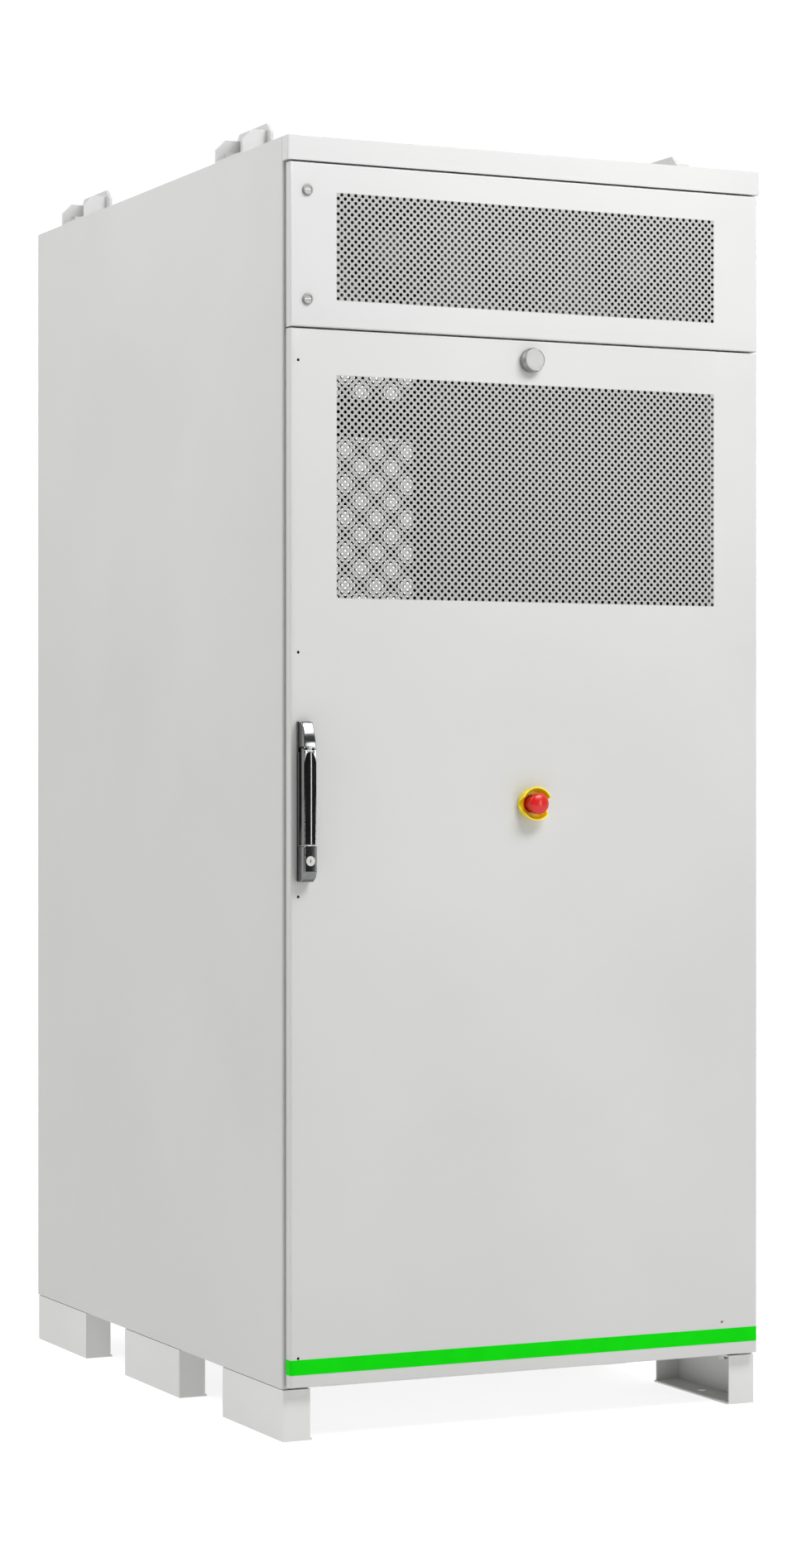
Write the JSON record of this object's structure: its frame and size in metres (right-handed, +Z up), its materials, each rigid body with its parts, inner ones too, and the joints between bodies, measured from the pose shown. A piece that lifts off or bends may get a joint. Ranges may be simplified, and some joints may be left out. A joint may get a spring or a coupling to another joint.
{
  "type": "ventilated power cabinet",
  "caption": "Free-standing ventilated steel power cabinet on fork-lift feet, with a main door, a vent door, a swing handle, a stop button and a dry transformer inside.",
  "frame": {"origin": "on the floor, at the centre of the four anchor-bolt holes in the corner feet", "axes": "+X to the right of a person facing the doors, +Y from the doors to the rear panel, +Z up"},
  "size_m": [0.8, 1.135, 1.97],
  "materials": {
    "side_panel_paint": "fine-textured light grey powder coat",
    "door_paint": "fine-textured light grey powder coat",
    "foot_paint": "light grey powder coat",
    "grille_paint": "light grey powder coat on perforated sheet",
    "frame_steel": "galvanised, spangled",
    "zinc_hardware": "zinc plated",
    "core_steel": "varnished electrical steel",
    "copper": "bare copper",
    "winding_resin": "cast resin",
    "winding_foil": "resin-impregnated insulation",
    "clamp_paint": "dark paint",
    "black_plastic": "moulded, matt",
    "terminal_plastic": "moulded, matt",
    "fan_metal": "black paint",
    "seal_rubber": "foamed seal",
    "green_film": "green film",
    "lamp_metal": "satin turned",
    "lamp_lens_grey": "unlit diffuser",
    "guard_yellow": "moulded, satin",
    "button_red": "moulded, glossy",
    "handle_dark": "dark metallic",
    "handle_light": "satin chrome"
  },
  "bodies": {
    "cabinet": {"front_feet": "foot_paint", "middle_feet": "foot_paint", "rear_feet": "foot_paint", "frame_bolts": "zinc_hardware", "base_side_rails": "foot_paint", "base_cross_rails": "foot_paint", "floor_plate": "frame_steel", "gland_plate": "frame_steel", "corner_posts": "frame_steel", "top_side_rails": "frame_steel", "top_cross_rails": "frame_steel", "door_cross_rail": "side_panel_paint", "left_side_panel": "side_panel_paint", "right_side_panel": "side_panel_paint", "roof_cap": "side_panel_paint", "rear_panel": "side_panel_paint", "rear_grilles": "grille_paint", "lifting_lugs": "side_panel_paint", "hinge_brackets": "zinc_hardware", "hinge_pins": "zinc_hardware", "core_yokes": "core_steel", "core_limbs": "core_steel", "low_voltage_windings": "winding_foil", "high_voltage_windings": "winding_resin", "core_clamps": "clamp_paint", "vibration_pads": "seal_rubber", "busbars": "copper", "mounting_panel": "frame_steel", "breaker_case": "black_plastic", "terminal_blocks": "terminal_plastic", "earth_bar": "copper", "fan_plate": "fan_metal", "fan_housings": "fan_metal"},
    "main_door": {"main_door_skin": "door_paint", "main_door_grille": "grille_paint", "main_door_gasket": "seal_rubber", "door_stiffeners": "door_paint", "door_stripe": "green_film", "rod_guides": "black_plastic", "lamp_body": "lamp_metal", "lamp_lens": "lamp_lens_grey", "stop_guard": "guard_yellow", "stop_body": "black_plastic", "handle_base": "handle_dark"},
    "vent_door": {"vent_door_skin": "door_paint", "vent_door_grille": "grille_paint", "vent_door_gasket": "seal_rubber"},
    "handle_hub": {"handle_hub": "handle_light"},
    "handle_lever": {"handle_lever": "handle_dark"},
    "lock_cylinder": {"lock_cylinder": "zinc_hardware"},
    "upper_latch_rod": {"upper_latch_rod": "zinc_hardware"},
    "lower_latch_rod": {"lower_latch_rod": "zinc_hardware"},
    "stop_plunger": {"stop_plunger": "button_red"},
    "stop_head": {"stop_head": "button_red"},
    "upper_vent_latch": {"upper_vent_latch": "zinc_hardware"},
    "lower_vent_latch": {"lower_vent_latch": "zinc_hardware"},
    "fan_rotor_left": {"fan_rotor_left": "black_plastic"},
    "fan_rotor_middle": {"fan_rotor_middle": "black_plastic"},
    "fan_rotor_right": {"fan_rotor_right": "black_plastic"},
    "breaker_toggle": {"breaker_toggle": "black_plastic"}
  },
  "joints": [
    {"name": "main_door_hinge", "type": "hinge", "parent": "cabinet", "child": "main_door", "pos_m": [0.389, -0.5425, 0.859], "axis": [0, 0, 1], "range_deg": [0, 110]},
    {"name": "vent_door_hinge", "type": "hinge", "parent": "cabinet", "child": "vent_door", "pos_m": [0.389, -0.5425, 1.7605], "axis": [0, 0, 1], "range_deg": [0, 110]},
    {"name": "handle_turn", "type": "hinge", "parent": "main_door", "child": "handle_hub", "pos_m": [-0.3755, -0.55, 1.04], "axis": [0, -1, 0], "range_deg": [0, 90]},
    {"name": "handle_lift", "type": "hinge", "parent": "handle_hub", "child": "handle_lever", "pos_m": [-0.3755, -0.57, 1.017], "axis": [-1, 0, 0], "range_deg": [0, 25]},
    {"name": "lock_turn", "type": "hinge", "parent": "main_door", "child": "lock_cylinder", "pos_m": [-0.3755, -0.56, 0.855], "axis": [0, -1, 0], "range_deg": [0, 90]},
    {"name": "upper_rod_slide", "type": "slide", "parent": "main_door", "child": "upper_latch_rod", "axis": [0, 0, 1], "range_m": [-0.0121, 0]},
    {"name": "lower_rod_slide", "type": "slide", "parent": "main_door", "child": "lower_latch_rod", "axis": [0, 0, 1], "range_m": [0, 0.0121]},
    {"name": "stop_press", "type": "slide", "parent": "main_door", "child": "stop_plunger", "axis": [0, 1, 0], "range_m": [0, 0.005], "stiffness_N_per_m": 900, "springref_m": -0.002},
    {"name": "stop_twist", "type": "hinge", "parent": "stop_plunger", "child": "stop_head", "pos_m": [0, -0.57, 0.9375], "axis": [0, -1, 0], "range_deg": [0, 45], "stiffness_Nm_per_rad": 0.05},
    {"name": "upper_vent_latch_turn", "type": "hinge", "parent": "vent_door", "child": "upper_vent_latch", "pos_m": [-0.3684, -0.55, 1.8404], "axis": [0, -1, 0], "range_deg": [0, 90]},
    {"name": "lower_vent_latch_turn", "type": "hinge", "parent": "vent_door", "child": "lower_vent_latch", "pos_m": [-0.3684, -0.55, 1.6801], "axis": [0, -1, 0], "range_deg": [0, 90]},
    {"name": "fan_spin_left", "type": "hinge", "parent": "cabinet", "child": "fan_rotor_left", "pos_m": [-0.21, -0.48, 1.769], "axis": [0, -1, 0], "continuous": true},
    {"name": "fan_spin_middle", "type": "hinge", "parent": "cabinet", "child": "fan_rotor_middle", "pos_m": [0, -0.48, 1.769], "axis": [0, -1, 0], "continuous": true},
    {"name": "fan_spin_right", "type": "hinge", "parent": "cabinet", "child": "fan_rotor_right", "pos_m": [0.21, -0.48, 1.769], "axis": [0, -1, 0], "continuous": true},
    {"name": "breaker_toggle_tilt", "type": "hinge", "parent": "cabinet", "child": "breaker_toggle", "pos_m": [-0.16, -0.47, 0.985], "axis": [-1, 0, 0], "range_deg": [0, 50]}
  ],
  "couplings": [
    {"joint": "upper_rod_slide", "follows": "handle_turn", "m_per_rad": -0.0076394},
    {"joint": "lower_rod_slide", "follows": "handle_turn", "m_per_rad": 0.0076394}
  ]
}
